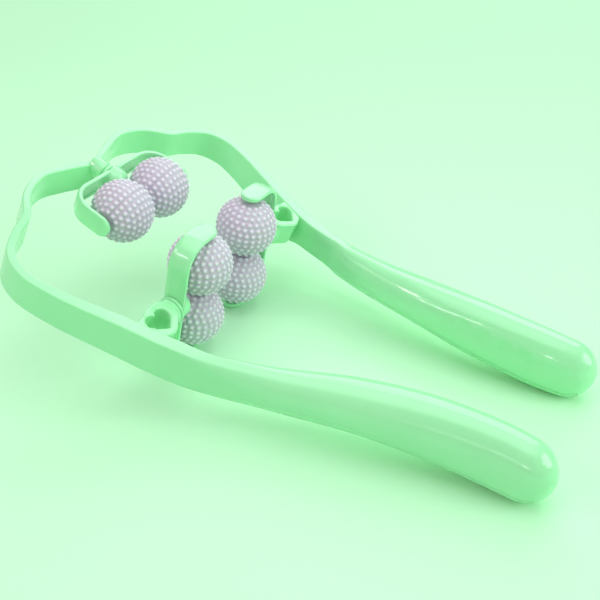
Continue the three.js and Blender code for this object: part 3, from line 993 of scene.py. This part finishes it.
def mint_plastic():
    """Glossy moulded plastic under a clear coat, its green and its gloss slightly uneven."""
    made = material(
        "mint_plastic", (0.36, 0.87, 0.46), 0.22,
        Subsurface_Weight=0.12, Subsurface_Scale=0.003, Coat_Weight=0.6, Coat_Roughness=0.06,
    )
    tree = made.node_tree
    tree.nodes["Principled BSDF"].inputs["Subsurface Radius"].default_value = (0.6, 1.0, 0.7)
    colour_between(tree, noise(tree, 18), (0.345, 0.855, 0.445), (0.375, 0.885, 0.475))
    value_between(tree, noise(tree, 60, 4), 0.18, 0.26, "Roughness")
    bumped(tree, noise(tree, 900, 2), 0.00002, 0.35)
    return made


def lavender_plastic():
    """Satin plastic, with painted shade between the studs and a painted highlight towards their
    tips.
    """
    made = material(
        "lavender_plastic", (0.68, 0.64, 0.76), 0.45,
        Subsurface_Weight=0.1, Subsurface_Scale=0.002,
    )
    tree = made.node_tree
    place = tree.nodes.new("ShaderNodeTexCoord")
    length = tree.nodes.new("ShaderNodeVectorMath")
    length.operation = "LENGTH"
    tree.links.new(place.outputs["Object"], length.inputs[0])
    span = tree.nodes.new("ShaderNodeMapRange")
    span.inputs["From Min"].default_value = SKIN_RADIUS * MM
    span.inputs["From Max"].default_value = BALL_RADIUS * MM
    tree.links.new(length.outputs["Value"], span.inputs["Value"])
    # Painted shade and highlight: the colour darkens down to the ball's skin between the studs and
    # pales towards the stud tips.
    colour_between(tree, span.outputs["Result"], (0.56, 0.5, 0.62), (0.79, 0.75, 0.86), 0.05, 0.85)
    value_between(tree, noise(tree, 120, 3), 0.34, 0.46, "Roughness")
    return made


def pin_steel():
    """Turned steel for the axles."""
    made = material("pin_steel", (0.6, 0.61, 0.62), 0.28, Metallic=1.0)
    tree = made.node_tree
    value_between(tree, noise(tree, 400, 5), 0.2, 0.4, "Roughness")
    return made


MINT = mint_plastic()
LAVENDER = lavender_plastic()
STEEL = pin_steel()


# ---- assembly ----------------------------------------------------------------------------
def settle(piece, body, slot, *nodes):
    """Rides on the body and stands for the CAD nodes, which it hides. The slot is not used."""
    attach(piece, body)
    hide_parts(*nodes)


shell = new_object("hoop_and_handles", frame_shell(), HOOP, MINT)
weighted(shell)
settle(shell, "frame", "mint_plastic", "hoop_band", "left_handle_body", "right_handle_body")

at_apex = HOOP @ Matrix.Translation((0, 0, APEX_AXLE.z))
boss_piece = new_object("apex_pivot_boss", apex_boss(), at_apex, MINT)
weighted(boss_piece)
settle(boss_piece, "frame", "mint_plastic", "apex_boss")

for label, sign in (("left", 1), ("right", -1)):
    cover = new_object(f"{label}_underside_cover", handle_cover(sign), HOOP, MINT)
    weighted(cover)
    settle(cover, "frame", "mint_plastic", f"{label}_handle_cover")
    block = heart_block(label, sign)
    weighted(block)
    settle(block, "frame", "mint_plastic", f"{label}_heart_block")


# Degrees that each head's balls are turned on their axle, to where their parting lines lie.
BALL_TURNS = {"apex": -80, "left": 100, "right": 100}


def ball_piece(label, number, sign, matrix):
    """A ball's mesh lies about its own centre, so that its material can measure from there."""
    bm = studded_ball(sign)
    centre = matrix @ Matrix.Translation((0, sign * BALL_SPACING / 2, 0))
    spin = Matrix.Rotation(math.radians(BALL_TURNS[label]), 4, "Y")
    turn = centre.to_3x3().normalized().to_4x4() @ spin
    piece = new_object(f"{label}_studded_ball_{number}", bm, Matrix.Scale(MM, 4), LAVENDER)
    piece.matrix_world = Matrix.Translation(centre.translation) @ turn
    return piece


def build_head(label, boss_radius, grip):
    """Yoke, pin, collar, axle and two balls of one head."""
    matrix = head_matrix(label)
    strap_piece = yoke(label, matrix)
    weighted(strap_piece)
    settle(strap_piece, f"{label}_head", "mint_plastic", f"{label}_yoke")
    pin = new_object(f"{label}_swivel_pin", pivot_pin(grip), matrix, MINT)
    weighted(pin)
    settle(pin, f"{label}_head", "mint_plastic", f"{label}_pivot_pin")
    washer = new_object(f"{label}_collar", swivel_washer(boss_radius), matrix, MINT)
    weighted(washer)
    settle(washer, "frame", "mint_plastic", f"{label}_swivel_washer")
    shaft = new_object(f"{label}_ball_axle", axle(), matrix @ ALONG_Y, STEEL)
    weighted(shaft)
    settle(shaft, f"{label}_head", "steel", f"{label}_axle")
    for number, sign in ((1, 1), (2, -1)):
        piece = ball_piece(label, number, sign, matrix)
        settle(piece, f"{label}_roller_{number}", "lavender_plastic", f"{label}_ball_{number}")


build_head("apex", APEX_BOSS_RADIUS, APEX_PIN_GRIP)
build_head("left", SIDE_BOSS_RADIUS, SIDE_PIN_GRIP)
build_head("right", SIDE_BOSS_RADIUS, SIDE_PIN_GRIP)


# ---- floor, light and camera -------------------------------------------------------------
def floor():
    """A plain pale sweep, in metres: flat under the object, curving up far behind it."""
    bm = bmesh.new()
    half_width = 6
    front, bend, radius, top = -4, 3, 1.5, 5
    profile = [(front, 0), (bend, 0)]
    for k in range(1, 13):
        angle = math.radians(90 * k / 12)
        profile.append((bend + radius * math.sin(angle), radius * (1 - math.cos(angle))))
    profile.append((bend + radius, top))
    rows = [[bm.verts.new((x, y, z)) for x in (-half_width, half_width)] for y, z in profile]
    for near, far in zip(rows, rows[1:]):
        bm.faces.new((near[0], near[1], far[1], far[0]))
    made = material("pale_floor", (0.585, 0.97, 0.66), 0.8, Specular_IOR_Level=0.1)
    obj = new_object("floor", bm, Matrix.Identity(4), made)


def area_light(
    name, place, size, power, size_y=None, colour=(1, 1, 1), along=(1, 0, 0), target=(0, 0, 0),
):
    """A softbox that faces the target; its first side, size, runs along the given direction."""
    data = bpy.data.lights.new(name, "AREA")
    data.energy = power
    data.color = colour
    data.shape = "RECTANGLE"
    data.size = size
    data.size_y = size_y or size
    backwards = (Vector(place) - Vector(target)).normalized()
    upwards = backwards.cross(Vector(along)).normalized()
    turn = Matrix((upwards.cross(backwards), upwards, backwards)).transposed()
    light = bpy.data.objects.new(name, data)
    light.matrix_world = Matrix.Translation(place) @ turn.to_4x4()
    bpy.context.scene.collection.objects.link(light)


LIGHT_TINT = (0.82, 1.0, 0.9)
WARM_TINT = (1.0, 0.84, 0.88)


def studio():
    """Large soft lights, and small ones whose reflections are the highlights on the handles."""
    area_light("key", (-0.5, 1.7, 1.4), size=2.4, power=21, size_y=1.2, colour=LIGHT_TINT)
    area_light("overhead", (0, 0, 2.2), size=2.4, power=7, colour=LIGHT_TINT)
    area_light("right_fill", (1.6, 0.4, 0.9), size=1.2, power=16, colour=LIGHT_TINT)
    area_light("left_fill", (-1.3, -1, 1.2), size=0.35, power=4, colour=WARM_TINT)
    area_light("top_panel", (0.05, 0, 0.55), size=0.5, power=0.9, colour=LIGHT_TINT)
    area_light(
        "strip", (-0.5, -0.89, 0.69), size=0.6, power=1.6, size_y=0.03, along=(0.5, -0.12, 0.26),
    )
    area_light("front_window", (0.32, -1.25, 0.42), size=0.14, power=0.5, size_y=0.07)
    area_light("side_window", (1.2, -0.25, 0.76), size=0.12, power=0.6, target=(0.15, 0, 0.03))
    world = bpy.data.worlds.new("studio")
    world.use_nodes = True
    world.node_tree.nodes["Background"].inputs["Color"].default_value = (1.0, 0.82, 0.87, 1)
    world.node_tree.nodes["Background"].inputs["Strength"].default_value = 0.43
    bpy.context.scene.world = world


def camera():
    """Looks down on the object from its right-hand side, level with the handles' tips."""
    data = bpy.data.cameras.new("camera")
    data.sensor_width = 36
    data.lens = 52.64
    obj = bpy.data.objects.new("camera", data)
    obj.location = (0.184785, -0.40861, 0.337657)
    obj.rotation_euler = (math.radians(56.516), math.radians(-3.342), math.radians(26.92))
    bpy.context.scene.collection.objects.link(obj)
    bpy.context.scene.camera = obj


floor()
studio()
camera()
bpy.context.scene.view_settings.view_transform = "Standard"
